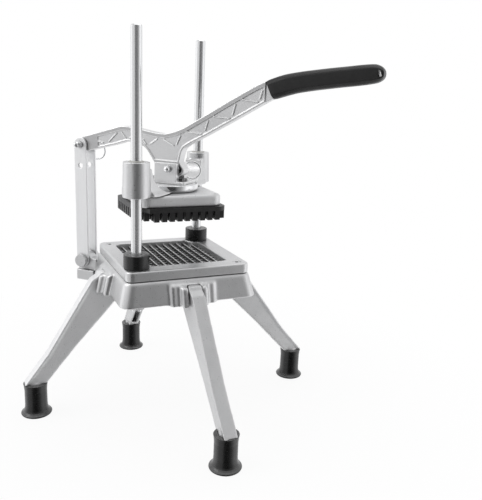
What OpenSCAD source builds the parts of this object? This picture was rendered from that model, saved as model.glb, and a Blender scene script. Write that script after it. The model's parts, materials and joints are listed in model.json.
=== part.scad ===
// Manual vegetable dicer: a lever press that pushes food through a square grid of blades.
// Millimetres, +Z up. The origin is on the bench, on the vertical cutting axis.
// +X points to the operator's grip, -X to the link, and the two guide rods stand on the Y axis.

/* [Guide rods] */
// Diameter of a guide rod
rod_d = 12.7; // [12.3:0.1:13]
// Distance between the axes of the two guide rods
rod_gap = 166.4; // [163:0.2:168]
// Height of the rod tops above the bench
rod_top = 466; // [450:1:500]

/* [Base and legs] */
// Half the side of the square base skirt at its top
base_half = 79; // [78.5:0.1:79.5]
// How far each side of the skirt flares out by its bottom edge
flare = 6.5; // [4:0.5:8]
// Height of the bottom edge of the base skirt
skirt_z = 157; // [155:0.5:158]
// Angle between the X axis and each leg
leg_azimuth = 43; // [42:0.1:44]
// Distance from the cutting axis to a front foot
front_reach = 186.7; // [182:0.1:190]
// Distance from the cutting axis to a rear foot
rear_reach = 170.1; // [168:0.1:176]
// Width of a leg's outer flange
leg_w = 17; // [16:0.1:17]
// Diameter of the flared bottom of a rubber foot
foot_flange_d = 37.2; // [34:0.1:40]

/* [Blades and pusher] */
// Distance between neighbouring blades
pitch = 9.525; // [9.4:0.005:9.6]
// Cells along one side of the grid
cells = 12; // [12]
// Thickness of a blade
blade_t = 0.8; // [0.6:0.1:0.9]
// Height of a blade
blade_h = 4; // [3.5:0.1:4]
// Width of one pusher pin
pin_w = 6; // [5.5:0.1:6.6]

/* [Carriage] */
// Height of the underside of the carriage bosses at rest
boss_z = 281.4; // [281.1:0.1:281.8]
// Height of a carriage boss
boss_h = 40.2; // [39:0.1:41]

/* [Lever and link] */
// Thickness of the cast lever
lever_t = 15; // [14:0.1:15]
// Diameter of the two quick-release pins
pin_d = 8; // [7.6:0.1:8]
// Thickness of a link plate
link_t = 3; // [2.5:0.1:3]
// Width of a link plate
link_w = 18; // [17:0.1:19]

/* [Hidden] */
$fn = 64;
fit_gap = 0.07;
loose_gap = 0.15;
rod_y = rod_gap / 2;
rod_r = rod_d / 2;
opening_half = cells * pitch / 2;
deck_z = 180;
skirt_top = 183.4;
seat_z = 184.6;
base_top = 186;
wall_t = 5;
deck_x = 2.5;
bracket_x = -105.5;
bulge_r = 90;
bulge_fall = 21;
ridge_r = 4;
frame_z = 186.5;
frame_top = 198.5;
frame_half = 77;
frame_screw_x = 91;
blade_z = 187.2;
bumper_r = 15.1;
bumper_top = 215.4;
land_r = bumper_r + 1.5;
boss_bottom_r = 16;
boss_top_r = 15;
bush_r = 8.5;
block_top = 266.4;
block_z = 261;
block_half = (cells - 1) * pitch / 2 + pin_w / 2 + 0.1;
pins_z = 250.2;
plate_top = 280.2;
plate_screw_r = 61;
collar_z = 283;
collar_top = 289.3;
collar_r = 35;
hub_r = 28;
hub_top = 289.4;
clevis_foot_t = 3.4;
clevis_screw_x = 21.5;
leg_top = 179.8;
leg_foot_z = 41;
leg_head_r = 92;
slot_half = leg_w / 2 + loose_gap;
link_pivot = [-124.5, 0, 174];
tail_pivot = [-124.5, 0, 328.4];
head_pivot = [5, 0, 307.6];
pin_r = pin_d / 2;
link_bolt_r = 4.76;
clevis_gap = lever_t / 2 + 0.4;
clevis_wall = 7.7;
clevis_top = 314.6;
link_gap = lever_t / 2 + 0.5;
link_hole_drop = 27;
link_hole_r = 3.2;
pin_tip_y = 22;
pin_end_y = 34;
ring_hole_y = 31;
ring_turn = 20;
link_ring_droop = 100;
head_ring_droop = 30;
ring_r = 11;
ring_wire_r = 1.1;
ring_hole_r = 2.1;
open_slot_r = 5.5;
open_slot_x = 8.6;
open_slot_z = -0.9;

// ---- shared shapes -------------------------------------------------------

// A square with round corners, centred on the origin
module rounded_square(half, r) {
    square([2 * half, 2 * (half - r)], center = true);
    square([2 * (half - r), 2 * half], center = true);
    for (x = [-1, 1], y = [-1, 1]) translate([x * (half - r), y * (half - r)]) circle(r);
}

// A rounded square slab standing on z, turned so that its corners lie on X and Y
module slab(half, r, z, h) {
    translate([0, 0, z]) rotate([0, 0, 45]) linear_extrude(h) rounded_square(half, r);
}

// An outline in the XZ plane given thickness t along Y, centred on y
module upright(t, y = 0) {
    translate([0, y + t / 2, 0]) rotate([90, 0, 0]) linear_extrude(t) children();
}

// A cylinder along Y between y0 and y1, on the axis through (x, z)
module bar_y(x, z, r, y0, y1) {
    translate([x, y1, z]) rotate([90, 0, 0]) cylinder(r = r, h = y1 - y0);
}

// The square opening through the frame and base, leaving round lands of radius land at the rods
module opening(half, r, z, h, land) difference() {
    slab(half, r, z, h);
    for (y = [-1, 1]) translate([0, y * rod_y, z - 1]) cylinder(r = land, h = h + 2);
}

// A hexagonal prism along Z with the given distance across its flats
module hex(flats, h) {
    cylinder(d = flats / cos(30), h = h, $fn = 6);
}

// Positions of the blades or pin rows across the grid
function grid_lines(n) = [for (i = [0:n - 1]) (i - (n - 1) / 2) * pitch];

// One point of the smooth curve through p at span i, fraction t
function spline_at(p, i, t) = let (
        a = p[max(i - 1, 0)], b = p[i], c = p[i + 1], d = p[min(i + 2, len(p) - 1)]
    ) 0.5 * ((2 * b) + (c - a) * t + (2 * a - 5 * b + 4 * c - d) * t * t
        + (3 * b - a - 3 * c + d) * t * t * t);

// A smooth curve through the points p, with steps points a span
function spline(p, steps = 4) = concat(
    [for (i = [0:len(p) - 2], k = [0:steps - 1]) spline_at(p, i, k / steps)], [p[len(p) - 1]]);

// The curve p moved sideways by k, to the left of its direction
function shifted(p, k) = [for (i = [0:len(p) - 1]) let (
        d = p[min(i + 1, len(p) - 1)] - p[max(i - 1, 0)]
    ) p[i] + k * [-d[1], d[0]] / norm(d)];

function reversed(p) = [for (i = [len(p) - 1:-1:0]) p[i]];
function arc(c, r, a0, a1, n = 10) = [for (i = [0:n]) let (a = a0 + (a1 - a0) * i / n)
    c + r * [cos(a), sin(a)]];

// ---- base ----------------------------------------------------------------

leg_sides = [leg_azimuth, -leg_azimuth, 180 - leg_azimuth, leg_azimuth - 180];

// A square slab hung below z1 whose sides flare out by grow at its bottom
module flared_slab(half, r, z0, z1, grow) {
    translate([deck_x, 0, z1]) mirror([0, 0, 1]) rotate([0, 0, 45])
        linear_extrude(z1 - z0, scale = (half + grow) / half, slices = 1)
            rounded_square(half, r, $fn = 32);
}

// The base's thickening round a leg's head, seen from above: two ridges on each side of the leg
module bulge_outline() difference() {
    inner_y = 13.2;
    outer_y = 25;
    union() {
        translate([60, -inner_y]) square([bulge_r - 60, 2 * inner_y]);
        translate([60, -inner_y - ridge_r]) square([bulge_r - ridge_r - 60, 2 * (inner_y + ridge_r)]);
        translate([60, -outer_y]) square([bulge_r - 66, 2 * outer_y]);
        translate([60, -outer_y - ridge_r]) square([bulge_r - 70, 2 * (outer_y + ridge_r)]);
        for (y = [-1, 1]) {
            translate([bulge_r - ridge_r, y * inner_y]) circle(ridge_r, $fn = 24);
            translate([bulge_r - 10, y * outer_y]) circle(ridge_r, $fn = 24);
        }
    }
    for (y = [-1, 1]) translate([bulge_r - 2, y * 21]) circle(4.6, $fn = 24);
}

// The thickening itself, flared like the skirt, with a top that falls away outwards
module leg_bulge() difference() {
    translate([0, 0, skirt_top]) mirror([0, 0, 1])
        linear_extrude(skirt_top - skirt_z + 1.5, scale = [(bulge_r + flare) / bulge_r, 1], slices = 1)
            bulge_outline();
    translate([base_half - 3, -40, skirt_top]) rotate([0, bulge_fall, 0]) cube([40, 80, 20]);
}

module leg_cheeks() {
    for (y = [-1, 1]) translate([54, y * (slot_half + 2.4) - 2.4, skirt_z + 1]) cube([22, 4.8, 24]);
}

module base_casting() color([0.72, 0.73, 0.74]) difference() {
    union() {
        difference() {
            union() {
                flared_slab(base_half, 12, skirt_z, skirt_top, flare);
                translate([deck_x, 0, 0]) {
                    slab(base_half - 3, 10, skirt_top - 1, seat_z - skirt_top + 1);
                    slab(base_half - 0.8, 11, seat_z, base_top - seat_z);
                    slab(base_half - 3.5, 9, base_top - 1, frame_z - base_top + 1);
                }
                for (a = leg_sides) rotate([0, 0, a]) leg_bulge();
            }
            flared_slab(base_half - wall_t, 8, skirt_z - 3, deck_z, flare);
        }
        for (a = [0:90:270]) rotate([0, 0, a]) translate([rod_y, 0, skirt_z]) cylinder(r = 11, h = 25);
        for (a = leg_sides) rotate([0, 0, a]) leg_cheeks();
    }
    opening(opening_half + 1, 10, skirt_z - 3, 40, 11);
    for (a = leg_sides) rotate([0, 0, a]) {
        translate([50, -slot_half, skirt_z - 5]) cube([55, 2 * slot_half, leg_top - skirt_z + 5.1]);
        translate([66, 0, 168]) rotate([90, 0, 0]) cylinder(r = 4.1, h = 60, center = true);
    }
    for (y = [-1, 1]) translate([0, y * rod_y, 150]) cylinder(r = rod_r + fit_gap, h = 40);
    for (x = [-1, 1]) translate([deck_x + x * frame_screw_x, 0, 172]) cylinder(r = 2.56, h = 20);
    translate([-rod_y, 0, 150]) cylinder(r = 4.06, h = 20);
    translate([bracket_x - 50, -20, skirt_z - 5]) cube([50.1, 40, 50]);
}

// ---- legs and feet ---------------------------------------------------------

// Distance from the cutting axis of a point of a leg, spread with the leg's reach
function spread(reach, r, z) = r + (reach - 170.1) * (leg_top - z) / (leg_top - leg_foot_z);
function leg_edge(reach, p) = [for (q = p) [spread(reach, q[0], q[1]), q[1]]];

// The leg's outer edge, from its head down to its foot, and its inner edge back up
leg_outer = concat(arc([86, leg_top - 6], 6, 90, 20, 5), [[100, 170.5], [154.5, 80], [183.5, leg_foot_z]]);
leg_inner = [[157, leg_foot_z], [120, 86], [71, 141], [57, 158]];

module leg(reach) {
    outer = leg_edge(reach, leg_outer);
    inner = leg_edge(reach, leg_inner);
    difference() {
        union() {
            upright(leg_w - 2) polygon(concat(outer, inner, [[57, leg_top]]));
            upright(leg_w) polygon([for (p = concat(outer, reversed(shifted(outer, -3.2))))
                [p[0], max(p[1], leg_foot_z)]]);
        }
        upright(leg_w - 9) polygon(concat(
            shifted(leg_edge(reach, [[113, 148.8], [154.5, 80], [178, 48.4]]), -4.5),
            leg_edge(reach, [[150, 48], [113, 84], [66, 137]])));
        bar_y(66, 168, 4.1, -20, 20);
    }
    translate([reach, 0, 14]) cylinder(r = 9, h = leg_foot_z - 12);
}

module leg_colour() color([0.74, 0.75, 0.76]) children();
module leg_front_left() leg_colour() rotate([0, 0, -leg_azimuth]) leg(front_reach);
module leg_front_right() leg_colour() rotate([0, 0, leg_azimuth]) leg(front_reach);
module leg_rear_left() leg_colour() rotate([0, 0, leg_azimuth - 180]) leg(rear_reach);
module leg_rear_right() leg_colour() rotate([0, 0, 180 - leg_azimuth]) leg(rear_reach);

// A rubber boot with a flared bottom, pushed over the leg's round end
module foot(azimuth, reach) color([0.07, 0.07, 0.075])
    rotate([0, 0, azimuth]) translate([reach, 0, 0]) rotate_extrude() polygon(concat(
        [[0, 0], [foot_flange_d / 2 - 1, 0], [foot_flange_d / 2, 1], [foot_flange_d / 2, 2.2]],
        arc([20.5, 10.2], 7.2, 255, 180, 6),
        [[13.4, leg_foot_z - 0.1], [9.1, leg_foot_z - 0.1], [9.1, 13.9], [0, 13.9]]));

module foot_front_left() foot(-leg_azimuth, front_reach);
module foot_front_right() foot(leg_azimuth, front_reach);
module foot_rear_left() foot(leg_azimuth - 180, rear_reach);
module foot_rear_right() foot(180 - leg_azimuth, rear_reach);

// A cross bolt and its nut through each leg's head, inside the base
module leg_bolts() color([0.6, 0.6, 0.62]) for (a = leg_sides) rotate([0, 0, a]) translate([66, 0, 168]) {
    rotate([90, 0, 0]) cylinder(r = 4, h = 40, center = true);
    translate([0, 20, 0]) rotate([90, 0, 0]) hex(11, 5.5);
    translate([0, -14.2, 0]) rotate([90, 0, 0]) hex(11, 5);
}

// ---- guide rods ------------------------------------------------------------

module guide_rod(side) color([0.8, 0.8, 0.82]) translate([0, side * rod_y, 0]) {
    translate([0, 0, 146]) cylinder(r = rod_r, h = rod_top - 147.2);
    translate([0, 0, rod_top - 1.2]) cylinder(r1 = rod_r, r2 = rod_r - 1.2, h = 1.2);
}
module guide_rod_left() guide_rod(-1);
module guide_rod_right() guide_rod(1);

module rod_nuts() color([0.62, 0.62, 0.64])
    for (y = [-1, 1]) translate([0, y * rod_y, skirt_z - 8]) difference() {
    hex(18, 8);
    translate([0, 0, -1]) cylinder(r = rod_r + fit_gap, h = 10);
}

module bumper(side) color([0.07, 0.07, 0.075]) translate([0, side * rod_y, 0]) difference() {
    union() {
        translate([0, 0, frame_top]) cylinder(r = bumper_r, h = bumper_top - frame_top - 0.6);
        translate([0, 0, bumper_top - 0.6]) cylinder(r1 = bumper_r, r2 = bumper_r - 0.6, h = 0.6);
    }
    translate([0, 0, frame_top - 1]) cylinder(r = rod_r + fit_gap, h = 30);
}
module bumper_left() bumper(-1);
module bumper_right() bumper(1);

// ---- blade cartridge -------------------------------------------------------

// One layer of blades along X, standing on z and reaching past the opening into the frame
module blade_layer(z, extra, grow) {
    for (y = grid_lines(cells - 1))
        translate([-opening_half - extra, y - blade_t / 2 - grow, z - grow])
            cube([2 * (opening_half + extra), blade_t + 2 * grow, blade_h + 2 * grow]);
}

module blade_frame() color([0.76, 0.77, 0.78]) difference() {
    translate([deck_x, 0, 0]) {
        slab(frame_half, 9, frame_z, frame_top - frame_z - 1.2);
        slab(frame_half - 0.9, 8.2, frame_top - 1.2, 1.2);
    }
    opening(opening_half, 7, frame_z - 1, frame_top - frame_z + 2, land_r);
    rotate([0, 0, 45]) blade_layer(blade_z, 3.1, 0.02);
    rotate([0, 0, 135]) blade_layer(blade_z + blade_h, 3.1, 0.02);
    for (y = [-1, 1]) translate([0, y * rod_y, frame_z - 1]) cylinder(r = rod_r + fit_gap, h = 20);
    for (x = [-1, 1]) translate([deck_x + x * frame_screw_x, 0, frame_z - 1]) {
        cylinder(r = 2.66, h = 20);
        translate([0, 0, frame_top - frame_z - 2.2]) cylinder(r = 5.2, h = 4);
    }
}

module lower_blades() color([0.82, 0.83, 0.85]) rotate([0, 0, 45]) blade_layer(blade_z, 3, 0);
module upper_blades() color([0.82, 0.83, 0.85]) rotate([0, 0, 135])
    blade_layer(blade_z + blade_h + 0.02, 3, -0.01);

module blade_frame_screws() color([0.6, 0.6, 0.62])
    for (x = [-1, 1]) translate([deck_x + x * frame_screw_x, 0, 0]) difference() {
        union() {
            translate([0, 0, 173]) cylinder(r = 2.5, h = 23);
            translate([0, 0, frame_top - 3.2]) cylinder(r = 5, h = 2.7);
        }
        translate([0, 0, frame_top - 2.2]) hex(4, 3);
    }

// ---- rear bracket and link bolt ---------------------------------------------

module rear_bracket() color([0.74, 0.75, 0.76]) difference() {
    union() {
        translate([-133, -13, 147]) cube([26, 26, 14]);
        translate([-112, -9, 149]) cube([42, 18, skirt_z - 149 - 0.05]);
        upright(lever_t) polygon(concat(
            arc([link_pivot[0], link_pivot[2]], 10.5, 150, 20),
            [[bracket_x, 176], [bracket_x, 158], [-112, 155], [-133, 155], [-133, 162]]));
    }
    bar_y(link_pivot[0], link_pivot[2], link_bolt_r + fit_gap, -20, 20);
    translate([-rod_y, 0, 140]) cylinder(r = 4.06, h = 20);
}

module bracket_bolt() color([0.6, 0.6, 0.62]) translate([-rod_y, 0, 0]) {
    translate([0, 0, 144]) cylinder(r = 4, h = 25);
    translate([0, 0, 143.5]) hex(13, 5.5);
}

module link_bolt() color([0.66, 0.66, 0.68]) {
    bar_y(link_pivot[0], link_pivot[2], link_bolt_r, -link_gap - link_t - 1, 21);
    bar_y(link_pivot[0], link_pivot[2], 8.1, -link_gap - link_t - 5.6, -link_gap - link_t - 0.1);
}

module link_nut() color([0.62, 0.62, 0.64]) difference() {
    translate([link_pivot[0], link_gap + link_t + 7.6, link_pivot[2]]) rotate([90, 0, 0]) hex(14.3, 7.5);
    bar_y(link_pivot[0], link_pivot[2], link_bolt_r + fit_gap, 0, 30);
}

// ---- link ------------------------------------------------------------------

link_top = [tail_pivot[0], tail_pivot[2]];
link_foot = [link_pivot[0], link_pivot[2]];

// A flat bar with round ends, from the base pivot up to the lever's tail
module link_plate(side) color([0.85, 0.86, 0.87]) {
    tilt = atan2(link_top[0] - link_foot[0], link_top[1] - link_foot[1]);
    y = side * (link_gap + link_t / 2);
    difference() {
        upright(link_t, y) polygon(concat(
            arc(link_top, link_w / 2, 180 - tilt, -tilt, 16),
            arc(link_foot, link_w / 2, -tilt, -180 - tilt, 16)));
        bar_y(link_foot[0], link_foot[1], link_bolt_r + fit_gap, -20, 20);
        bar_y(link_top[0], link_top[1], pin_r + fit_gap, -20, 20);
        bar_y(link_top[0], link_top[1] - link_hole_drop, link_hole_r, -20, 20);
    }
}
module link_plate_left() link_plate(-1);
module link_plate_right() link_plate(1);

// ---- lever -----------------------------------------------------------------

lever_crest = spline([
    [-125, 337.7], [-77, 351.7], [-62.8, 355], [-42.9, 353.2], [-10.8, 348.8],
    [5.5, 351.4], [20.1, 357.1], [34, 365], [48.7, 373.5], [85.9, 395.5], [118, 412.9],
    [141, 419.2], [184.5, 426.6], [236, 431.6]]);
lever_back_edge = spline([
    [-121, 319.3], [-74.5, 331.4], [-55.7, 336.3], [-34.4, 332.1], [-24.5, 321.7], [-17.5, 311]]);
lever_front_edge = spline([
    [15.5, 316], [19.3, 330.4], [27.1, 337.6], [49.1, 349.6], [86.5, 370.7], [132.5, 396.6],
    [165, 407.5], [200, 413.8], [240, 419.2]]);

function slot_centre(k) = [head_pivot[0] + k * open_slot_x, head_pivot[2] + open_slot_z];

// The lever's hole for the head pin is a slot, because the pin drifts along it as the lever swings
module head_slot() {
    for (k = [0, 1]) bar_y(slot_centre(k)[0], slot_centre(k)[1], open_slot_r, -20, 20);
    translate([slot_centre(0)[0], -20, slot_centre(0)[1] - open_slot_r])
        cube([open_slot_x, 40, 2 * open_slot_r]);
}

module lever_outline() {
    lug_r = open_slot_r + 3.2;
    polygon(concat(lever_crest, [[244, 429.5], [247, 425], [245, 421]], reversed(lever_front_edge),
        [slot_centre(1) + [lug_r, 0]], arc(slot_centre(1), lug_r, 0, -90, 6),
        arc(slot_centre(0) - [8, -1], lug_r + 1, 270, 200, 6), reversed(lever_back_edge),
        arc([tail_pivot[0], tail_pivot[2]], 9.75, 282, 102, 14)));
}

// The recess in each side face of the lever, inside a raised rim that is wider along the crest
rim_w = 2.6;
crest_rim_w = 5;
pocket_x0 = -110;
pocket_x1 = 121;
pocket_foot_z = 315.5;
pocket_crest = [for (p = shifted(lever_crest, -crest_rim_w)) if (p[0] > pocket_x0 && p[0] < pocket_x1) p];
pocket_back = [for (p = shifted(lever_back_edge, rim_w))
    if (p[0] > pocket_x0 && p[1] > pocket_foot_z) p];
pocket_front = [for (p = shifted(lever_front_edge, rim_w))
    if (p[1] > pocket_foot_z && p[0] < pocket_x1 + 7) p];

// The short raised ribs that zigzag along the recess without touching each other
rib_half_w = 0.7;
ribs = [
    [[-108, 336], [-92, 332.5]], [[-84, 334.5], [-72, 346]], [[-66, 348], [-59, 340.5]],
    [[-54, 340.5], [-46, 347]], [[-35, 340.5], [-30, 334.5]], [[-25, 335], [-15, 342]],
    [[-6, 342], [8, 335.5]], [[11.5, 337], [16.5, 348]], [[24, 353], [45, 351.5]],
    [[49, 356], [52.5, 368]], [[59, 372.5], [80, 371.5]], [[83, 375.5], [86.5, 388]],
    [[94, 393.5], [114, 391.5]], [[115.8, 395], [118.5, 405]]];
module rib(a, b) {
    w = rib_half_w * [b[1] - a[1], a[0] - b[0]] / norm(b - a);
    polygon([a - w, a + w, b + w, b - w]);
}

module pocket_outline() difference() {
    polygon(concat(pocket_crest, reversed(pocket_front), reversed(pocket_back)));
    for (r = ribs) rib(r[0], r[1]);
}

module lever() color([0.78, 0.79, 0.8]) difference() {
    upright(lever_t) lever_outline();
    for (y = [-1, 1]) upright(1.8, y * (lever_t / 2 - 0.4)) pocket_outline();
    bar_y(tail_pivot[0], tail_pivot[2], pin_r + fit_gap, -20, 20);
    head_slot();
    translate([122, -10, 380]) cube([140, 10 - lever_t / 2 + 1.5, 60]);
    translate([122, lever_t / 2 - 1.5, 380]) cube([140, 10, 60]);
    bar_y(241.5, 425.5, 2.6, -20, 20);
}

grip_crest = spline([
    [122, 415.8], [140.9, 422.4], [159.7, 426.2], [184.5, 429.8], [208.3, 432.8], [237, 436],
    [246.4, 435], [252, 430.5], [252.6, 425.5]], 3);
grip_belly = spline([
    [131.5, 395], [150.4, 400.9], [167.3, 404.8], [200.5, 409.9], [227.3, 413.5], [243, 416.2],
    [250, 420]], 3);

module grip_outline(inset) {
    polygon(concat(shifted(grip_crest, -inset), reversed(shifted(grip_belly, inset))));
}

// A vinyl sleeve over the end of the lever, with softened edges
module grip() color([0.06, 0.06, 0.065]) difference() {
    union() {
        upright(15) grip_outline(0);
        upright(18.5) grip_outline(1);
        upright(20.5) grip_outline(2.6);
    }
    upright(lever_t - 3 + 0.2) polygon(concat(
        [[110, 404.5]], shifted([for (p = lever_crest) if (p[0] > 110) p], 0.1),
        [[244.4, 429.8], [247.3, 425], [245.4, 420.8]],
        reversed(shifted([for (p = lever_front_edge) if (p[0] > 110) p], -0.1))));
    bar_y(241.5, 425.5, 2.6, -20, 20);
}

// ---- carriage --------------------------------------------------------------

// Side, end and top views of the web from a boss to the hub, whose upper edge is a hollow curve
web_side = concat(
    [[24, collar_z - 0.1], [24, boss_z], [74, boss_z], [74, boss_z + boss_h - 8]],
    [for (a = [-4:-6:-82]) [31 + 37 * cos(a), boss_z + 33.6 + 32 * sin(a)]],
    [[36.1, collar_z - 0.1]]);
web_end = [[21, boss_z - 1], [15, 287], [12.5, 298], [11, boss_z + boss_h]];
web_top = [[15, 83], [21, 62], [21, 45], [16, 20]];
function both_sides(p) = concat(p, [for (i = [len(p) - 1:-1:0]) [-p[i][0], p[i][1]]]);

module carriage_web() intersection() {
    rotate([0, 0, 90]) upright(60) polygon(web_side);
    rotate([90, 0, 0]) linear_extrude(200, center = true) polygon(both_sides(web_end));
    translate([0, 0, boss_z - 1]) linear_extrude(50) polygon(both_sides(web_top));
}

module carriage_casting() color([0.74, 0.75, 0.76]) difference() {
    union() {
        for (y = [-1, 1]) translate([0, y * rod_y, boss_z])
            cylinder(r1 = boss_bottom_r, r2 = boss_top_r, h = boss_h);
        carriage_web();
        mirror([0, 1, 0]) carriage_web();
        translate([0, 0, plate_top + 0.1]) cylinder(r = collar_r - 2, h = collar_z - plate_top - 0.2);
        translate([0, 0, collar_z - 1]) cylinder(r = hub_r, h = hub_top - collar_z + 0.9);
    }
    for (y = [-1, 1]) translate([0, y * rod_y, boss_z - 1]) cylinder(r = bush_r + 0.05, h = boss_h + 2);
    for (x = [-1, 1]) translate([x * clevis_screw_x, 0, 270]) cylinder(r = 2.56, h = 30);
}

module guide_bushes() color([0.85, 0.84, 0.8])
    for (y = [-1, 1]) translate([0, y * rod_y, 0]) difference() {
    translate([0, 0, boss_z + 0.1]) cylinder(r = bush_r, h = boss_h + 0.9);
    translate([0, 0, boss_z - 1]) cylinder(r = rod_r + fit_gap, h = boss_h + 4);
}

// The bright clamp ring round the hub
module pusher_collar() color([0.85, 0.86, 0.88]) difference() {
    union() {
        translate([0, 0, collar_z]) cylinder(r = collar_r, h = collar_top - collar_z - 0.8);
        translate([0, 0, collar_top - 0.8]) cylinder(r1 = collar_r, r2 = collar_r - 0.8, h = 0.8);
    }
    translate([0, 0, collar_z - 1]) cylinder(r = hub_r + 0.1, h = 10);
}

// A fork that holds the lever's lug, on a foot screwed down through the hub
module clevis_block() color([0.78, 0.79, 0.8]) difference() {
    wall_y = clevis_gap + clevis_wall;
    union() {
        translate([-27, -wall_y, hub_top]) cube([54, 2 * wall_y, clevis_foot_t]);
        for (y = [-1, 1]) upright(clevis_wall, y * (clevis_gap + clevis_wall / 2)) {
            translate([-14, hub_top]) square([29.8, clevis_top - hub_top - 1.5]);
            translate([-12.5, 300]) square([26.8, clevis_top - 300]);
            for (x = [-12.5, 14.3]) translate([x, clevis_top - 1.5]) circle(1.5);
        }
    }
    bar_y(head_pivot[0], head_pivot[2], pin_r + fit_gap, -20, 20);
    for (x = [-1, 1]) translate([x * clevis_screw_x, 0, 270]) cylinder(r = 2.56, h = 30);
}

module clevis_screws() color([0.6, 0.6, 0.62]) for (x = [-1, 1]) translate([x * clevis_screw_x, 0, 0]) {
    head_z = hub_top + clevis_foot_t;
    difference() {
        union() {
            translate([0, 0, 273]) cylinder(r = 2.5, h = head_z - 272.5);
            translate([0, 0, head_z]) cylinder(r = 4.2, h = 3);
        }
        translate([0, 0, head_z + 1.2]) hex(3.4, 3);
    }
}

// ---- pusher ----------------------------------------------------------------

module pusher_plate() color([0.74, 0.75, 0.76]) difference() {
    union() {
        slab(51.3, 12, block_top + 0.02, plate_top - block_top - 1.82);
        slab(50, 11, plate_top - 1.8, 1.8);
    }
    for (x = [-1, 1]) translate([x * clevis_screw_x, 0, 272]) cylinder(r = 2.56, h = 30);
    for (a = [0:90:270]) rotate([0, 0, a]) translate([plate_screw_r, 0, 0]) {
        translate([0, 0, 255]) cylinder(r = 2.1, h = 30);
        translate([0, 0, plate_top - 2.9]) cylinder(r = 4.1, h = 4);
    }
}

// Whether the pin at (x, y) of the turned grid clears the corners and the bumpers
function pin_fits(x, y) = let (corner = rod_y / sqrt(2) - pin_w / 2)
    x * y > 0 ? norm([corner - abs(x), corner - abs(y)]) > land_r + 0.5 : norm([x, y]) < 0.63 * cells * pitch;

// A nylon block with one square pin for each cell of the grid that it can reach
module pusher_block() color([0.05, 0.05, 0.055]) difference() {
    union() {
        slab(block_half, 11.5, block_z, block_top - block_z);
        rotate([0, 0, 45]) for (x = grid_lines(cells), y = grid_lines(cells))
            if (pin_fits(x, y))
                translate([x - pin_w / 2, y - pin_w / 2, pins_z]) cube([pin_w, pin_w, block_z - pins_z + 1]);
    }
    for (a = [0:90:270]) rotate([0, 0, a])
        translate([plate_screw_r, 0, block_z - 0.5]) cylinder(r = 2.05, h = 20);
    for (y = [-1, 1]) translate([0, y * rod_y, block_z - 1]) cylinder(r = land_r + 0.4, h = 20);
}

module pusher_screws() color([0.6, 0.6, 0.62])
    for (a = [0:90:270]) rotate([0, 0, a]) translate([plate_screw_r, 0, 0]) difference() {
    union() {
        translate([0, 0, block_z + 0.2]) cylinder(r = 2, h = plate_top - block_z - 1);
        translate([0, 0, plate_top - 2.8]) cylinder(r = 4, h = 2.6);
    }
    translate([0, 0, plate_top - 1.6]) hex(3, 3);
}

// ---- quick-release pins ----------------------------------------------------

// The cross hole of a pin, with Z along the hole and X towards the ring's centre
module ring_place(at, droop) {
    translate([at[0], ring_hole_y, at[2]]) rotate([0, droop, ring_turn]) children();
}

// A round-nosed pin along Y, with a collar and a cross hole for its pull ring
module release_pin(at, wall_y, droop) color([0.85, 0.86, 0.88]) difference() {
    union() {
        bar_y(at[0], at[2], pin_r, -pin_tip_y + pin_r - 1, pin_end_y);
        translate([at[0], -pin_tip_y + pin_r - 1, at[2]]) sphere(pin_r);
        bar_y(at[0], at[2], pin_r + 2, wall_y + 0.2, wall_y + 4.2);
    }
    ring_place(at, droop) cylinder(r = ring_hole_r, h = 20, center = true);
}

module link_pin() release_pin(tail_pivot, link_gap + link_t, link_ring_droop);
module head_pin() release_pin(head_pivot, clevis_gap + clevis_wall, head_ring_droop);

// A wire ring that hangs from the cross hole
module pull_ring(at, droop) color([0.85, 0.86, 0.88])
    ring_place(at, droop) translate([ring_r, 0, 0]) rotate([90, 0, 0])
        rotate_extrude() translate([ring_r, 0]) circle(ring_wire_r, $fn = 24);

module link_ring() pull_ring(tail_pivot, link_ring_droop);
module head_ring() pull_ring(head_pivot, head_ring_droop);

// ---- drawing ----------------------------------------------------------------

base_casting();
leg_front_left();
leg_front_right();
leg_rear_left();
leg_rear_right();
foot_front_left();
foot_front_right();
foot_rear_left();
foot_rear_right();
leg_bolts();
guide_rod_left();
guide_rod_right();
rod_nuts();
bumper_left();
bumper_right();
blade_frame();
lower_blades();
upper_blades();
blade_frame_screws();
rear_bracket();
bracket_bolt();
link_bolt();
link_nut();
carriage_casting();
guide_bushes();
pusher_collar();
clevis_block();
clevis_screws();
pusher_plate();
pusher_block();
pusher_screws();
link_plate_left();
link_plate_right();
lever();
grip();
link_pin();
link_ring();
head_pin();
head_ring();
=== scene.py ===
"""Looks for the vegetable dicer: castings with softened edges, procedural materials, light and camera.

Every piece is in metres in the CAD frame: +Z up, +X towards the operator's grip, guide rods on Y.
"""

import json
import math

import bmesh
import bpy
import numpy as np
from mathutils import Matrix, Vector

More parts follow.
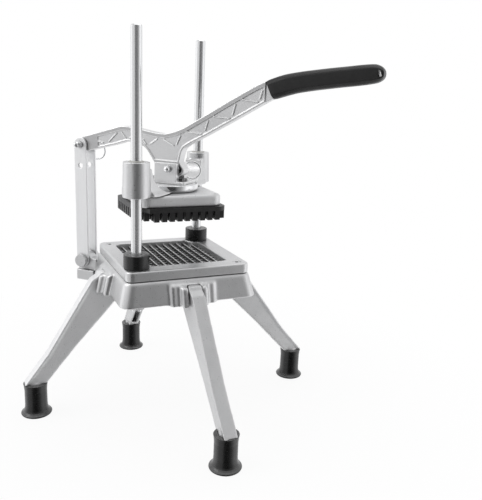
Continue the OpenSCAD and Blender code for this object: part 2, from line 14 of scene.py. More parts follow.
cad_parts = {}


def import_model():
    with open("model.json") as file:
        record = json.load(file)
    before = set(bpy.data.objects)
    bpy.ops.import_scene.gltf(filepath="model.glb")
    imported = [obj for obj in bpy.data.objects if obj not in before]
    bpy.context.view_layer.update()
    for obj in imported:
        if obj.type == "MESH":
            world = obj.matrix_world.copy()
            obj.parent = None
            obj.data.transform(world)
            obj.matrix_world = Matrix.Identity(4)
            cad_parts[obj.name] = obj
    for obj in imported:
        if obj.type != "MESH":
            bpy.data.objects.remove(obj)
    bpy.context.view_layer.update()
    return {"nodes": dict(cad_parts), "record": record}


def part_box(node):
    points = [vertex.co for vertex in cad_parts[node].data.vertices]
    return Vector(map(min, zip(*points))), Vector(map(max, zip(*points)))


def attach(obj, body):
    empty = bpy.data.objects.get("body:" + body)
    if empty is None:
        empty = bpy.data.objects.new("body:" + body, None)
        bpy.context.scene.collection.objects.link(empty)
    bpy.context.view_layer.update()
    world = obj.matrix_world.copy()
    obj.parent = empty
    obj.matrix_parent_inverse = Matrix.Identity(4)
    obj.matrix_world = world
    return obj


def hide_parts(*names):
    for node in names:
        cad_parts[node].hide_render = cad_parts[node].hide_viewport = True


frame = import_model()

MM = 0.001
BODY_OF = {
    node: body
    for body, nodes in frame["record"]["behaviour"]["bodies"].items()
    for node in nodes
}
SLOT_OF = {row["node"]: row["material_slot"] for row in frame["record"]["subparts"]}


# ---- node material helpers -------------------------------------------------


class Shader:
    """A node material under construction, with short calls for the nodes it uses."""

    def __init__(self, name):
        self.material = bpy.data.materials.new(name)
        self.material.use_nodes = True
        self.tree = self.material.node_tree
        self.tree.nodes.clear()
        self.output = self.tree.nodes.new("ShaderNodeOutputMaterial")
        self.surface = self.tree.nodes.new("ShaderNodeBsdfPrincipled")
        self.tree.links.new(self.surface.outputs[0], self.output.inputs[0])
        coord = self.tree.nodes.new("ShaderNodeTexCoord")
        self.place = coord.outputs["Object"]

    def node(self, kind, **values):
        made = self.tree.nodes.new(kind)
        for key, value in values.items():
            setattr(made, key, value)
        return made

    def feed(self, socket, source):
        """Sets a socket to a number or colour, or links it to another socket."""
        if isinstance(source, bpy.types.NodeSocket):
            self.tree.links.new(source, socket)
        else:
            socket.default_value = source
        return socket

    def stretched(self, scale):
        """Object coordinates scaled by a triple, for grain that runs one way."""
        mapping = self.node("ShaderNodeMapping")
        self.feed(mapping.inputs["Vector"], self.place)
        mapping.inputs["Scale"].default_value = scale
        return mapping.outputs[0]

    def noise(self, scale, detail=3.0, rough=0.55, vector=None):
        made = self.node("ShaderNodeTexNoise")
        self.feed(made.inputs["Vector"], vector or self.place)
        made.inputs["Scale"].default_value = scale
        made.inputs["Detail"].default_value = detail
        made.inputs["Roughness"].default_value = rough
        return made.outputs["Fac"]

    def cells(self, scale):
        made = self.node("ShaderNodeTexVoronoi")
        self.feed(made.inputs["Vector"], self.place)
        made.inputs["Scale"].default_value = scale
        return made.outputs["Distance"]

    def span(self, source, low, high, out_low, out_high):
        """Maps low..high of source to out_low..out_high, clamped."""
        made = self.node("ShaderNodeMapRange")
        self.feed(made.inputs["Value"], source)
        limits = {"From Min": low, "From Max": high, "To Min": out_low, "To Max": out_high}
        for key, value in limits.items():
            made.inputs[key].default_value = value
        return made.outputs[0]

    def axis(self, vector, letter):
        """One component of a vector."""
        made = self.node("ShaderNodeSeparateXYZ")
        self.feed(made.inputs[0], vector)
        return made.outputs[letter]

    def vector_maths(self, operation, a, b=(0.0, 0.0, 0.0)):
        made = self.node("ShaderNodeVectorMath", operation=operation)
        self.feed(made.inputs[0], a)
        self.feed(made.inputs[1], b)
        return made.outputs[0]

    def maths(self, operation, a, b=0.0):
        made = self.node("ShaderNodeMath", operation=operation)
        self.feed(made.inputs[0], a)
        self.feed(made.inputs[1], b)
        return made.outputs[0]

    def mix(self, factor, a, b):
        made = self.node("ShaderNodeMix", data_type="RGBA")
        self.feed(made.inputs["Factor"], factor)
        self.feed(made.inputs["A"], a)
        self.feed(made.inputs["B"], b)
        return made.outputs["Result"]

    def blend(self, factor, a, b):
        """Mixes two shaders."""
        made = self.node("ShaderNodeMixShader")
        self.feed(made.inputs[0], factor)
        self.feed(made.inputs[1], a)
        self.feed(made.inputs[2], b)
        return made.outputs[0]

    def shaded(self, tone):
        """tone times the piece's object colour, which paints light on single pieces, lighter or darker than
        others of one metal.
        """
        made = self.node("ShaderNodeMix", data_type="RGBA", blend_type="MULTIPLY")
        made.inputs["Factor"].default_value = 1.0
        self.feed(made.inputs["A"], tone)
        self.feed(made.inputs["B"], self.node("ShaderNodeObjectInfo").outputs["Color"])
        return made.outputs["Result"]

    def edge(self, sharpest=0.58):
        """One on convex edges whose pointiness reaches sharpest, nought on flats, which have 0.5."""
        made = self.node("ShaderNodeNewGeometry")
        return self.span(made.outputs["Pointiness"], 0.5, sharpest, 0.0, 1.0)

    def crease(self):
        """One in hollows, nought on flats; it sets where shade is painted."""
        made = self.node("ShaderNodeNewGeometry")
        return self.span(made.outputs["Pointiness"], 0.42, 0.495, 1.0, 0.0)

    def cavity(self, reach):
        """One in the open, falling to nought in joints and hollows narrower than reach."""
        made = self.node("ShaderNodeAmbientOcclusion", samples=8)
        made.inputs["Distance"].default_value = reach
        return made.outputs["AO"]

    def bump(self, height, strength, distance, normal=None):
        made = self.node("ShaderNodeBump")
        self.feed(made.inputs["Height"], height)
        made.inputs["Strength"].default_value = strength
        made.inputs["Distance"].default_value = distance
        if normal is not None:
            self.feed(made.inputs["Normal"], normal)
        return made.outputs[0]

    def finish(self, **inputs):
        for key, value in inputs.items():
            self.feed(self.surface.inputs[key.replace("_", " ")], value)
        return self.material


def grey(value, tint=0.0):
    """A neutral colour, cooler as tint grows."""
    return (value * (1 - tint), value, value * (1 + tint), 1.0)


# ---- materials -------------------------------------------------------------


def cast_metal(name, light, dark, rough, grain, grain_depth, painted_shade=1.0, edge_highlight_and_wear=0.55, rim=None):
    """Shot-blasted casting: fine sparkle grain, soft tonal patches, painted highlights on edges, painted
    shade in hollows.

    Of the keyword arguments, the first scales the painted shade in hollows and joints and the second the
    painted highlight on edges. With rim, surfaces that far from the middle plane, such as the rim round a
    recess, get painted shade. The object colour's alpha scales the sheen.
    """
    s = Shader(name)
    patches = s.noise(26.0, 4.0)
    speckle = s.noise(grain * 1.4, 2.0, 0.7)
    tone = s.mix(s.span(patches, 0.35, 0.65, 0.0, 1.0), grey(dark, 0.006), grey(light, 0.004))
    tone = s.mix(s.span(speckle, 0.35, 0.7, 0.0, 0.5), tone, grey(light * 1.12))
    # Painted shade: the raised rim round a recess is made darker.
    if rim:
        proud = s.maths("ABSOLUTE", s.axis(s.place, "Y"))
        painted_rim_shade = s.maths("MULTIPLY", s.span(proud, rim - 0.7 * MM, rim - 0.2 * MM, 0.0, 0.5),
                         s.span(proud, rim + 0.1 * MM, rim + 0.2 * MM, 1.0, 0.0))
        tone = s.mix(painted_rim_shade, tone, grey(dark * 0.55))
    # Painted shade: darker in creases, and darker still in joints and hollows narrower than 9 mm.
    tone = s.mix(s.maths("MULTIPLY", s.crease(), 0.45 * painted_shade), tone, grey(dark * 0.5))
    tone = s.mix(s.span(s.cavity(9 * MM), 0.25, 0.85, 0.75 * painted_shade, 0.0), tone, grey(dark * 0.3))
    # Painted highlight: convex edges are made lighter.
    lit_and_worn = s.maths("MULTIPLY", s.edge(0.58 - 0.04 * edge_highlight_and_wear), edge_highlight_and_wear)
    tone = s.mix(lit_and_worn, tone, grey(min(light * 1.22, 0.97)))
    roughness = s.span(s.noise(grain * 0.5, 3.0), 0.3, 0.7, rough - 0.06, rough + 0.08)
    pitting = s.bump(s.noise(grain, 4.0, 0.65), 0.55, grain_depth)
    waves = s.bump(s.noise(55.0, 2.0), 0.25, 0.6 * MM, pitting)
    sheen = s.maths("MULTIPLY", s.node("ShaderNodeObjectInfo").outputs["Alpha"], 0.88)
    return s.finish(Base_Color=s.shaded(tone), Metallic=sheen, Roughness=roughness, Normal=waves)


def brushed_metal(name, light, dark, rough, stretch, depth=0.18, metallic=0.95):
    """Rolled or ground steel: hairlines along one way, small rubs and a little haze."""
    s = Shader(name)
    lines = s.noise(1.0, 3.0, 0.6, s.stretched(stretch))
    tone = s.mix(s.span(lines, 0.3, 0.7, 0.0, 1.0), grey(dark, 0.004), grey(light, 0.004))
    # Painted shade: darker in joints and hollows narrower than 6 mm.
    tone = s.mix(s.span(s.cavity(6 * MM), 0.25, 0.85, 0.7, 0.0), tone, grey(dark * 0.3))
    haze = s.noise(60.0, 4.0)
    roughness = s.maths("ADD", s.span(lines, 0.3, 0.7, rough - 0.05, rough + 0.07),
                        s.span(haze, 0.45, 0.7, 0.0, 0.08))
    fine = s.bump(lines, depth, 0.12 * MM)
    return s.finish(Base_Color=tone, Metallic=metallic, Roughness=roughness, Normal=fine)


def blade_metal(name, foot, height):
    """Stainless blades in two layers of one height: ground along their tops, near white there as a painted
    highlight, painted shade lower down.

    The ground part's normal leans up, as the flank of a sharpened edge does.
    """
    s = Shader(name)
    # Nought to one up the lower layer, one to two up the upper layer
    layer = s.maths("DIVIDE", s.maths("SUBTRACT", s.axis(s.place, "Z"), foot), height)
    edge_highlight_and_wear = s.noise(420.0, 3.0)
    lit_and_worn = s.maths("ADD", layer, s.span(edge_highlight_and_wear, 0.3, 0.7, -0.06, 0.06))
    lower = s.maths("MULTIPLY", s.span(lit_and_worn, 0.68, 0.76, 0.0, 1.0), s.span(layer, 0.995, 1.003, 1.0, 0.0))
    ground_and_highlight = s.maths("MAXIMUM", lower, s.span(lit_and_worn, 1.76, 1.9, 0.0, 0.75))
    # Painted light: a near white highlight on the ground tops and near black painted shade lower down.
    tone = s.mix(ground_and_highlight, grey(0.05), grey(0.97))
    roughness = s.span(ground_and_highlight, 0.0, 1.0, 0.5, 0.28)
    lean = s.node("ShaderNodeCombineXYZ")
    s.feed(lean.inputs["Z"], s.maths("MULTIPLY", ground_and_highlight, 1.1))
    leaning = s.vector_maths("ADD", s.bump(edge_highlight_and_wear, 0.1, 0.05 * MM), lean.outputs[0])
    return s.finish(Base_Color=tone, Metallic=s.span(ground_and_highlight, 0.0, 1.0, 0.3, 0.6), Roughness=roughness,
                    Normal=s.vector_maths("NORMALIZE", leaning))


def polished_metal(name, light, rough, stretch, metallic=1.0):
    """Ground and polished bar or plated wire: mirror-like with faint lines and finger haze."""
    s = Shader(name)
    lines = s.noise(1.0, 2.0, 0.6, s.stretched(stretch))
    smudge = s.noise(70.0, 5.0, 0.6)
    tone = s.mix(s.span(lines, 0.3, 0.7, 0.0, 1.0), grey(light * 0.94, 0.006), grey(light, 0.006))
    roughness = s.maths("ADD", s.span(lines, 0.3, 0.7, rough, rough + 0.05),
                        s.span(smudge, 0.5, 0.75, 0.0, 0.1))
    return s.finish(Base_Color=tone, Metallic=metallic, Roughness=roughness,
                    Normal=s.bump(lines, 0.04, 0.01 * MM))


def rubber(name):
    """Black moulded rubber: soft sheen, fine skin, dust specks, painted light on what faces up, lighter
    rims.
    """
    s = Shader(name)
    dust = s.noise(140.0, 5.0, 0.65)
    tone = s.mix(s.span(dust, 0.5, 0.8, 0.0, 0.5), grey(0.006), grey(0.022))
    # Painted light: what faces up is made lighter, as the sky's reflection would make it.
    upward = s.axis(s.node("ShaderNodeNewGeometry").outputs["Normal"], "Z")
    tone = s.mix(s.span(upward, 0.3, 0.85, 0.0, 0.9), tone, grey(0.13))
    tone = s.mix(s.maths("MULTIPLY", s.edge(), 0.3), tone, grey(0.06))
    roughness = s.span(s.noise(300.0, 3.0), 0.3, 0.7, 0.2, 0.34)
    skin = s.bump(s.noise(2600.0, 3.0), 0.3, 0.08 * MM)
    return s.finish(Base_Color=tone, Roughness=roughness, Normal=skin, Specular_IOR_Level=0.55)


def nylon(name):
    """Black moulded nylon with a faint grain."""
    s = Shader(name)
    tone = s.mix(s.span(s.noise(220.0, 4.0), 0.4, 0.75, 0.0, 0.6), grey(0.007), grey(0.022))
    tone = s.mix(s.maths("MULTIPLY", s.edge(), 0.25), tone, grey(0.06))
    roughness = s.span(s.noise(500.0, 3.0), 0.3, 0.7, 0.33, 0.48)
    skin = s.bump(s.noise(1800.0, 4.0), 0.3, 0.1 * MM)
    return s.finish(Base_Color=tone, Roughness=roughness, Normal=skin)


def vinyl(name):
    """Dipped black vinyl: a satin pebble skin, slightly glossier where hands rub it."""
    s = Shader(name)
    tone = s.mix(s.span(s.noise(90.0, 4.0), 0.4, 0.75, 0.0, 0.6), grey(0.006), grey(0.014))
    tone = s.mix(s.maths("MULTIPLY", s.edge(), 0.2), tone, grey(0.06))
    roughness = s.span(s.noise(40.0, 3.0), 0.35, 0.65, 0.3, 0.46)
    pebble = s.bump(s.cells(1500.0), 0.35, 0.18 * MM)
    soft = s.bump(s.noise(120.0, 3.0), 0.12, 0.4 * MM, pebble)
    return s.finish(Base_Color=tone, Roughness=roughness, Normal=soft, Specular_IOR_Level=0.45)


def turned_plastic(name):
    """Off-white bearing plastic with turning rings."""
    s = Shader(name)
    rings = s.noise(1.0, 2.0, 0.5, s.stretched((60.0, 60.0, 2500.0)))
    tone = s.mix(s.span(rings, 0.3, 0.7, 0.0, 1.0), (0.55, 0.54, 0.5, 1), (0.7, 0.69, 0.65, 1))
    return s.finish(Base_Color=tone, Roughness=s.span(rings, 0.3, 0.7, 0.3, 0.45),
                    Normal=s.bump(rings, 0.15, 0.1 * MM))


BLADE_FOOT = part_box("lower_blades")[0].z
BLADE_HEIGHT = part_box("upper_blades")[0].z - BLADE_FOOT

MATERIALS = {
    "cast_aluminium": cast_metal("cast_aluminium", 0.7, 0.62, 0.33, 1100.0, 0.22 * MM),
    "lever_aluminium": cast_metal("lever_aluminium", 0.76, 0.69, 0.33, 1300.0, 0.14 * MM, painted_shade=0.35,
                                  edge_highlight_and_wear=1.0, rim=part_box("lever")[1].y),
    "plate_steel": brushed_metal("plate_steel", 0.97, 0.93, 0.34, (500.0, 500.0, 20.0), depth=0.03,
                                 metallic=0.6),
    "rod_steel": polished_metal("rod_steel", 0.86, 0.09, (700.0, 700.0, 3000.0), metallic=0.74),
    "blade_steel": blade_metal("blade_steel", BLADE_FOOT, BLADE_HEIGHT),
    "bright_steel": polished_metal("bright_steel", 0.86, 0.06, (900.0, 900.0, 900.0)),
    "zinc_steel": brushed_metal("zinc_steel", 0.7, 0.6, 0.32, (500.0, 500.0, 500.0)),
    "black_rubber": rubber("black_rubber"),
    "black_nylon": nylon("black_nylon"),
    "bush_plastic": turned_plastic("bush_plastic"),
    "black_vinyl": vinyl("black_vinyl"),
}


# ---- piece helpers ---------------------------------------------------------


def give_material(obj, slot):
    obj.data.materials.clear()
    obj.data.materials.append(MATERIALS[slot])


def smooth(mesh):
    mesh.polygons.foreach_set("use_smooth", np.ones(len(mesh.polygons), dtype=bool))


def stand_for(obj, node):
    """A finished piece takes a CAD node's place, body and finish."""
    give_material(obj, SLOT_OF[node])
    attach(obj, BODY_OF[node])
    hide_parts(node)


def baked(obj):
    """Replaces obj's mesh by what its modifiers make of it."""
    bpy.context.view_layer.update()
    depsgraph = bpy.context.evaluated_depsgraph_get()
    mesh = bpy.data.meshes.new_from_object(obj.evaluated_get(depsgraph))
    obj.modifiers.clear()
    obj.data = mesh


def casting(node, voxel, passes, name):
    """A casting made from its CAD solid, remeshed and relaxed so that its edges are filleted."""
    source = frame["nodes"][node]
    obj = bpy.data.objects.new(name, source.data.copy())
    bpy.context.scene.collection.objects.link(obj)
    weld = obj.modifiers.new("weld", "WELD")
    weld.merge_threshold = 0.01 * MM
    remesh = obj.modifiers.new("remesh", "REMESH")
    remesh.mode = "VOXEL"
    remesh.voxel_size = voxel * MM
    remesh.adaptivity = 0.0
    relax = obj.modifiers.new("relax", "SMOOTH")
    relax.factor = 0.5
    relax.iterations = passes
    baked(obj)
    smooth(obj.data)
    stand_for(obj, node)


def machined(node, width):
    """A CAD node kept as it is, with a small bevel on its edges and its material."""
    obj = frame["nodes"][node]
    stored = obj.data.attributes.get("custom_normal")
    if stored:
        obj.data.attributes.remove(stored)
    smooth(obj.data)
    weld = obj.modifiers.new("weld", "WELD")
    weld.merge_threshold = 0.002 * MM
    bevel = obj.modifiers.new("bevel", "BEVEL")
    bevel.width = width * MM
    bevel.segments = 2
    bevel.limit_method = "ANGLE"
    bevel.angle_limit = math.radians(32)
    bevel.harden_normals = True
    give_material(obj, SLOT_OF[node])


def lathe(name, node, profile, centre, segments=96):
    """A turned piece: profile points (radius, height) in mm spun about a vertical axis through centre."""
    mesh = bmesh.new()
    rings = []
    for radius, height in profile:
        if radius < 1e-6:
            rings.append([mesh.verts.new((centre[0], centre[1], height * MM))])
            continue
        rings.append([
            mesh.verts.new((
                centre[0] + radius * MM * math.cos(math.tau * k / segments),
                centre[1] + radius * MM * math.sin(math.tau * k / segments),
                height * MM,
            ))
            for k in range(segments)
        ])
    for lower, upper in zip(rings, rings[1:] + rings[:1]):
        if len(lower) == 1 and len(upper) == 1:
            continue
        for k in range(segments):
            j = (k + 1) % segments
            corners = [lower[k % len(lower)], lower[j % len(lower)],
                       upper[j % len(upper)], upper[k % len(upper)]]
            unique = [v for i, v in enumerate(corners) if v not in corners[:i]]
            if len(unique) > 2:
                mesh.faces.new(unique)
    bmesh.ops.recalc_face_normals(mesh, faces=mesh.faces)
    data = bpy.data.meshes.new(name)
    mesh.to_mesh(data)
    mesh.free()
    smooth(data)
    obj = bpy.data.objects.new(name, data)
    bpy.context.scene.collection.objects.link(obj)
    stand_for(obj, node)


def rounded(points, radius, steps=4):
    """A profile polyline with its corners rounded by a quadratic curve of about that radius."""
    out = []
    count = len(points)
    for i, point in enumerate(points):
        p = Vector(point)
        before = Vector(points[(i - 1) % count]) - p
        after = Vector(points[(i + 1) % count]) - p
        if abs(p.x) < 1e-6 or before.length < 1e-6 or after.length < 1e-6:
            out.append(tuple(p))
            continue
        cut = min(radius, 0.45 * before.length, 0.45 * after.length)
        start, end = p + before.normalized() * cut, p + after.normalized() * cut
        for k in range(steps + 1):
            t = k / steps
            q = (1 - t) ** 2 * start + 2 * t * (1 - t) * p + t * t * end
            out.append(tuple(q))
    return out


# ---- feet and bumpers ------------------------------------------------------


# The socket in a foot for the round end of its leg: radius, and height of its floor, in mm
SOCKET_R = 9.15
SOCKET_FLOOR = 13.9


def foot(side):
    """A rubber boot: straight sleeve that widens a little at its mouth, over a thin flared rim."""
    node = f"foot_{side}"
    low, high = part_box(node)
    centre = (low + high) / 2
    flange = (high.x - low.x) / 2 / MM
    top = high.z / MM
    # Fractions of the flange's radius and heights in mm
    outside = [
        (0.0, 1.2), (0.72, 1.2), (0.86, 0.0), (0.97, 0.0), (1.0, 1.1), (1.0, 1.7), (0.98, 2.3), (0.89, 3.3),
        (0.815, 4.9), (0.765, 7.2), (0.738, 10.0), (0.725, 13.5), (0.722, top - 9.0), (0.755, top - 3.0),
        (0.785, top),
    ]
    socket = [(SOCKET_R, top), (SOCKET_R, SOCKET_FLOOR), (0.0, SOCKET_FLOOR)]
    profile = rounded([(flange * part, height) for part, height in outside] + socket, 0.45)
    lathe(f"rubber_foot_{side}", node, profile, centre)


# Radius of the bumpers' bore, which clears the guide rod, in mm
BUMPER_BORE_R = 6.42


def bumper(side):
    """A thick rubber stop ring round a guide rod, flat on top with crisp edges."""
    node = f"bumper_{side}"
    low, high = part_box(node)
    centre = (low + high) / 2
    radius = (high.x - low.x) / 2 / MM
    bottom, top = low.z / MM, high.z / MM
    profile = rounded([
        (BUMPER_BORE_R, bottom), (radius - 0.5, bottom), (radius, bottom + 0.5), (radius, top - 0.6),
        (radius - 0.6, top), (BUMPER_BORE_R + 0.78, top), (BUMPER_BORE_R, top - 0.7),
    ], 0.25)
    lathe(f"rubber_bumper_{side}", node, profile, centre)


# ---- grip ------------------------------------------------------------------


def catmull(points, count):
    """count points evenly spread along a smooth curve through the given points."""
    p = [np.array(q, float) for q in points]
    steps = 24
    fine = []
    for i in range(len(p) - 1):
        a, b, c, d = p[max(i - 1, 0)], p[i], p[i + 1], p[min(i + 2, len(p) - 1)]
        for k in range(steps):
            t = k / steps
            fine.append(0.5 * (2 * b + (c - a) * t + (2 * a - 5 * b + 4 * c - d) * t * t
                               + (3 * b - a - 3 * c + d) * t ** 3))
    fine.append(p[-1])
    fine = np.array(fine)
    length = np.concatenate([[0], np.cumsum(np.linalg.norm(np.diff(fine, axis=0), axis=1))])
    wanted = np.linspace(0, length[-1], count)
    return np.stack([np.interp(wanted, length, fine[:, k]) for k in range(fine.shape[1])], axis=1)


# Half widths and heights round the grip's section: flat sides, broad bevels, flat top and belly
GRIP_SECTION = [
    (1.0, -0.58), (1.0, 0.58), (0.62, 0.93), (0.25, 1.0), (-0.25, 1.0), (-0.62, 0.93),
    (-1.0, 0.58), (-1.0, -0.58), (-0.62, -0.93), (-0.25, -1.0), (0.25, -1.0), (0.62, -0.93),
]


def grip():
    """The vinyl sleeve: a flat-sided tube with broad bevels along its top and belly and a rounded end."""
    low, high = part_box("grip")
    size = high - low
    # Crest and belly outlines in the lever's plane, as fractions of the grip's box (x, z)
    tip = (1.0, 0.745)
    crest = [(0.0, 0.505), (0.145, 0.665), (0.289, 0.757), (0.479, 0.845), (0.661, 0.917), (0.881, 0.995),
             (0.953, 0.968), (0.993, 0.87), tip]
    belly = [(0.073, 0.0), (0.217, 0.143), (0.347, 0.238), (0.601, 0.362), (0.806, 0.449), (0.926, 0.515),
             (0.974, 0.58), (0.995, 0.66), tip]
    stations = 90
    # Share of the length over which the sleeve narrows to its end, how much of its width it loses there
    # (as the square's share), and how far in the mouth's lip draws
    end_part, end_loss, lip_draw = 0.14, 0.82, 0.035
    upper = catmull(crest, stations)
    lower = catmull(belly, stations)
    half = size.y / 2
    section = rounded(GRIP_SECTION, 0.12)
    sides = len(section)
    mesh = bmesh.new()
    rings = []
    for i in range(stations):
        top = Vector((low.x + upper[i][0] * size.x, 0, low.z + upper[i][1] * size.z))
        bottom = Vector((low.x + lower[i][0] * size.x, 0, low.z + lower[i][1] * size.z))
        middle = (top + bottom) / 2
        rise = (top - bottom) / 2
        end = max(0.0, (i / (stations - 1) - (1 - end_part)) / end_part)
        width = half * math.sqrt(1 - end * end * end_loss)
        mouth = 1.0 - lip_draw * max(0.0, 1 - i / 3.0)
        ring = []
        for y, z in section:
            ring.append(mesh.verts.new(middle + rise * z * mouth + Vector((0, y * width * mouth, 0))))
        rings.append(ring)
    for a, b in zip(rings, rings[1:]):
        for k in range(sides):
            j = (k + 1) % sides
            mesh.faces.new((a[k], a[j], b[j], b[k]))
    mesh.faces.new(rings[0])
    mesh.faces.new(list(reversed(rings[-1])))
    bmesh.ops.recalc_face_normals(mesh, faces=mesh.faces)
    data = bpy.data.meshes.new("grip_sleeve")
    mesh.to_mesh(data)
    mesh.free()
    obj = bpy.data.objects.new("grip_sleeve", data)
    bpy.context.scene.collection.objects.link(obj)
    hole = hang_hole(low, size)
    cut = obj.modifiers.new("hang_hole", "BOOLEAN")
    cut.object = hole
    cut.operation = "DIFFERENCE"
    cut.solver = "EXACT"
    bevel = obj.modifiers.new("bevel", "BEVEL")
    bevel.width = 0.5 * MM
    bevel.segments = 3
    bevel.limit_method = "ANGLE"
    bevel.angle_limit = math.radians(50)
    baked(obj)
    bpy.data.objects.remove(hole)
    smooth(obj.data)
    stand_for(obj, "grip")


def hang_hole(low, size):
    """A slanted slot cutter through the grip's end."""
    half_straight, reach, corners = 2.4 * MM, 30 * MM, 28
    mesh = bmesh.new()
    centre = Vector((low.x + 0.962 * size.x, 0, low.z + 0.76 * size.z))
    along = Vector((-0.3, 0, 1)).normalized()
    across = Vector((along.z, 0, -along.x))
    # The round ends' radius, laid across and along the slot
    wide, tall = across * 1.4 * MM, along * 1.4 * MM
    outline = []
    for k in range(corners):
        angle = math.tau * k / corners
        shift = along * (half_straight if math.sin(angle) > 0 else -half_straight)
        outline.append(centre + shift + wide * math.cos(angle) + tall * math.sin(angle))
    near = [mesh.verts.new(p + Vector((0, -reach, 0))) for p in outline]
    far = [mesh.verts.new(p + Vector((0, reach, 0))) for p in outline]
    for k in range(corners):
        j = (k + 1) % corners
        mesh.faces.new((near[k], near[j], far[j], far[k]))
    mesh.faces.new(near)
    mesh.faces.new(list(reversed(far)))
    bmesh.ops.recalc_face_normals(mesh, faces=mesh.faces)
    data = bpy.data.meshes.new("hole_cutter")
    mesh.to_mesh(data)
    mesh.free()
    obj = bpy.data.objects.new("hole_cutter", data)
    bpy.context.scene.collection.objects.link(obj)
    return obj


# ---- the pieces ------------------------------------------------------------

# Castings and plates: voxel size in mm and number of relaxing passes, which set how round the edges are
CASTINGS = {
    "base_casting": (0.9, 38),
    "leg_front_left": (1.0, 16),
    "leg_front_right": (1.0, 16),
    "leg_rear_left": (1.0, 16),
    "leg_rear_right": (1.0, 16),
    "blade_frame": (0.8, 6),
    "rear_bracket": (0.7, 5),
    "carriage_casting": (0.7, 8),
    "clevis_block": (0.5, 4),
    "pusher_plate": (0.8, 9),
    "lever": (0.45, 3),
    "link_plate_left": (0.45, 2),
    "link_plate_right": (0.45, 2),
}
# Bevel width of the other pieces in mm
MACHINED = {
    "leg_bolts": 0.3, "guide_rod_left": 0.2, "guide_rod_right": 0.2, "rod_nuts": 0.4,
    "lower_blades": 0.08, "upper_blades": 0.08, "blade_frame_screws": 0.25, "bracket_bolt": 0.3,
    "link_bolt": 0.5, "link_nut": 0.3, "guide_bushes": 0.35, "pusher_collar": 0.4, "clevis_screws": 0.25,
    "pusher_block": 0.35, "pusher_screws": 0.2,
    "link_pin": 0.3, "link_ring": 0.05, "head_pin": 0.3, "head_ring": 0.05,
}

# Painted light and sheen of single pieces: a brightness factor that paints each lighter or darker as light
# falls on it, and a lowered sheen for those blasted duller than the rest
PAINTED_TONE_AND_SHEEN = {
    "leg_front_left": (0.92, 0.5), "leg_front_right": (1.28, 0.5), "leg_rear_left": (1.28, 0.5),
    "leg_rear_right": (0.9, 0.5), "pusher_plate": (1.15, 0.6),
}

for node, (voxel, passes) in CASTINGS.items():
    casting(node, voxel, passes, f"cast_{node}")
for node, width in MACHINED.items():
    machined(node, width)
for side in ("front_left", "front_right", "rear_left", "rear_right"):
    foot(side)
# Painted light: each listed piece's colour is made lighter or darker, and its alpha lowers the sheen.
for node, (tone, sheen) in PAINTED_TONE_AND_SHEEN.items():
    for name in (f"cast_{node}", node):
        if name in bpy.data.objects:
            bpy.data.objects[name].color = (tone, tone, tone, sheen)
for side in ("left", "right"):
    bumper(side)
grip()


# ---- floor, light and camera -----------------------------------------------


def floor():
    """A plain pale sweep of floor, far larger than the view, that takes only a faint shadow."""
    mesh = bmesh.new()
    half, sunk = 9.0, 0.2 * MM
    corners = ((-half, -half), (half, -half), (half, half), (-half, half))
    mesh.faces.new([mesh.verts.new((x, y, -sunk)) for x, y in corners])
    data = bpy.data.meshes.new("studio_floor")
    mesh.to_mesh(data)
    mesh.free()
    obj = bpy.data.objects.new("studio_floor", data)
    bpy.context.scene.collection.objects.link(obj)
    s = Shader("studio_floor")
    tone = s.mix(s.span(s.noise(3.0, 2.0), 0.3, 0.7, 0.0, 1.0), grey(0.9), grey(0.93))
    material = s.finish(Base_Color=tone, Roughness=0.9)
    # The camera sees it glow white, all but a trace of shadow that fades out away from the feet
    reach = s.node("ShaderNodeVectorMath", operation="LENGTH")
    s.feed(reach.inputs[0], s.place)
    lit = s.span(reach.outputs["Value"], 0.12, 0.5, 0.9, 1.0)
    seen = s.blend(lit, s.surface.outputs[0], s.node("ShaderNodeEmission").outputs[0])
    path = s.node("ShaderNodeLightPath")
    solid = s.blend(path.outputs["Is Camera Ray"], s.surface.outputs[0], seen)
    clear = s.node("ShaderNodeBsdfTransparent").outputs[0]
    s.feed(s.output.inputs[0], s.blend(path.outputs["Is Glossy Ray"], solid, clear))
    obj.data.materials.append(material)


# Brightness of the studio round the horizon: degrees to the right of the camera's own direction
HORIZON = (
    (-180, 1.2), (-150, 1.35), (-128, 1.25), (-112, 1.7), (-88, 1.7), (-70, 1.0), (-50, 1.0), (-26, 0.95),
    (-14, 0.1), (26, 0.06), (40, 0.3), (54, 0.5), (66, 0.9), (80, 1.6), (100, 1.7), (120, 1.2),
    (140, 1.4), (180, 1.2),
)
# Sines of the elevations between which the horizon's bands give way to the even light overhead
OVERHEAD = (0.25, 0.8)
STUDIO_STRENGTH = 0.72

# The camera's bearing round the object, its height over the horizon and its tilt, in degrees
VIEW_AZIMUTH = 19.7
VIEW_ELEVATION = 14.2
VIEW_ROLL = 2.5
CAMERA_PLACE = (0.3395, -0.6732, 0.3948)
LENS_MM = 43.1


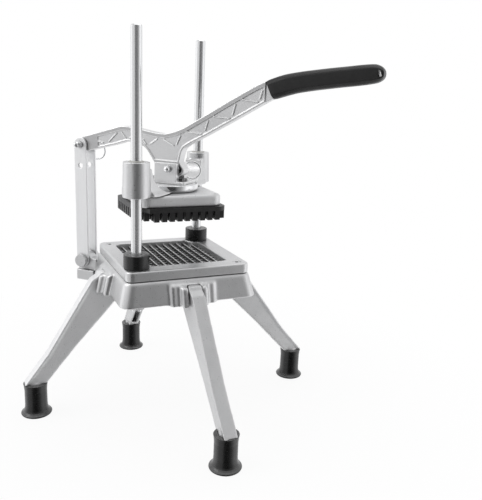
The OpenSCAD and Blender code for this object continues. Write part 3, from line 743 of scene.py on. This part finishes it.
def world():
    """White as seen; in reflections, a dark gap behind the camera between bright side walls."""
    made = bpy.data.worlds.new("studio")
    bpy.context.scene.world = made
    made.use_nodes = True
    tree = made.node_tree
    tree.nodes.clear()
    new = tree.nodes.new
    link = tree.links.new
    output = new("ShaderNodeOutputWorld")
    path = new("ShaderNodeLightPath")
    coord = new("ShaderNodeTexCoord")
    turned = new("ShaderNodeVectorRotate")
    turned.rotation_type = "Z_AXIS"
    turned.inputs["Angle"].default_value = math.radians(90 - VIEW_AZIMUTH)
    link(coord.outputs["Generated"], turned.inputs["Vector"])
    split = new("ShaderNodeSeparateXYZ")
    link(turned.outputs[0], split.inputs[0])
    azimuth = new("ShaderNodeMath")
    azimuth.operation = "ARCTAN2"
    link(split.outputs["Y"], azimuth.inputs[0])
    link(split.outputs["X"], azimuth.inputs[1])
    turn = new("ShaderNodeMapRange")
    turn.inputs["From Min"].default_value = -math.pi
    turn.inputs["From Max"].default_value = math.pi
    link(azimuth.outputs[0], turn.inputs["Value"])
    bands = new("ShaderNodeValToRGB")
    ramp = bands.color_ramp
    while len(ramp.elements) < len(HORIZON):
        ramp.elements.new(0.5)
    for element, (angle, value) in zip(ramp.elements, HORIZON):
        element.position = (angle + 180) / 360
        element.color = (value, value, value * 1.01, 1)
    link(turn.outputs[0], bands.inputs[0])
    height = new("ShaderNodeMapRange")
    height.inputs["From Min"].default_value = OVERHEAD[0]
    height.inputs["From Max"].default_value = OVERHEAD[1]
    link(split.outputs["Z"], height.inputs["Value"])
    sky = new("ShaderNodeMix")
    sky.data_type = "RGBA"
    link(height.outputs[0], sky.inputs["Factor"])
    link(bands.outputs[0], sky.inputs["A"])
    sky.inputs["B"].default_value = (0.95, 0.95, 0.96, 1)
    studio = new("ShaderNodeBackground")
    link(sky.outputs["Result"], studio.inputs["Color"])
    studio.inputs["Strength"].default_value = STUDIO_STRENGTH
    white = new("ShaderNodeBackground")
    white.inputs["Color"].default_value = (1, 1, 1, 1)
    white.inputs["Strength"].default_value = 1.0
    both = new("ShaderNodeMixShader")
    link(path.outputs["Is Camera Ray"], both.inputs[0])
    link(studio.outputs[0], both.inputs[1])
    link(white.outputs[0], both.inputs[2])
    link(both.outputs[0], output.inputs[0])


def softbox(name, place, aim, size, power):
    data = bpy.data.lights.new(name, "AREA")
    data.shape = "RECTANGLE"
    data.size, data.size_y = size
    data.energy = power
    obj = bpy.data.objects.new(name, data)
    bpy.context.scene.collection.objects.link(obj)
    obj.location = place
    obj.rotation_euler = (Vector(aim) - Vector(place)).to_track_quat("-Z", "Y").to_euler()


def camera():
    """The photograph's viewpoint, beside the lever's plane and a little above the blade frame."""
    azimuth, elevation, roll = (math.radians(a) for a in (VIEW_AZIMUTH, VIEW_ELEVATION, VIEW_ROLL))
    back = Vector((math.sin(azimuth) * math.cos(elevation), -math.cos(azimuth) * math.cos(elevation),
                   math.sin(elevation)))
    level = Vector((math.cos(azimuth), math.sin(azimuth), 0))
    upright = back.cross(level)
    right = math.cos(roll) * level + math.sin(roll) * upright
    up = -math.sin(roll) * level + math.cos(roll) * upright
    data = bpy.data.cameras.new("camera")
    data.sensor_width = 36.0
    data.lens = LENS_MM
    data.clip_end = 30.0
    obj = bpy.data.objects.new("camera", data)
    bpy.context.scene.collection.objects.link(obj)
    turn = Matrix((right, up, back)).transposed().to_4x4()
    obj.matrix_world = Matrix.Translation(CAMERA_PLACE) @ turn
    bpy.context.scene.camera = obj


floor()
world()
softbox("key_left", (-1.1, -0.9, 1.3), (0, 0, 0.2), (0.9, 1.1), 7.0)
softbox("top", (0.0, 0.5, 1.6), (0, 0, 0.2), (1.2, 1.2), 4.0)
camera()
bpy.context.scene.view_settings.view_transform = "Standard"
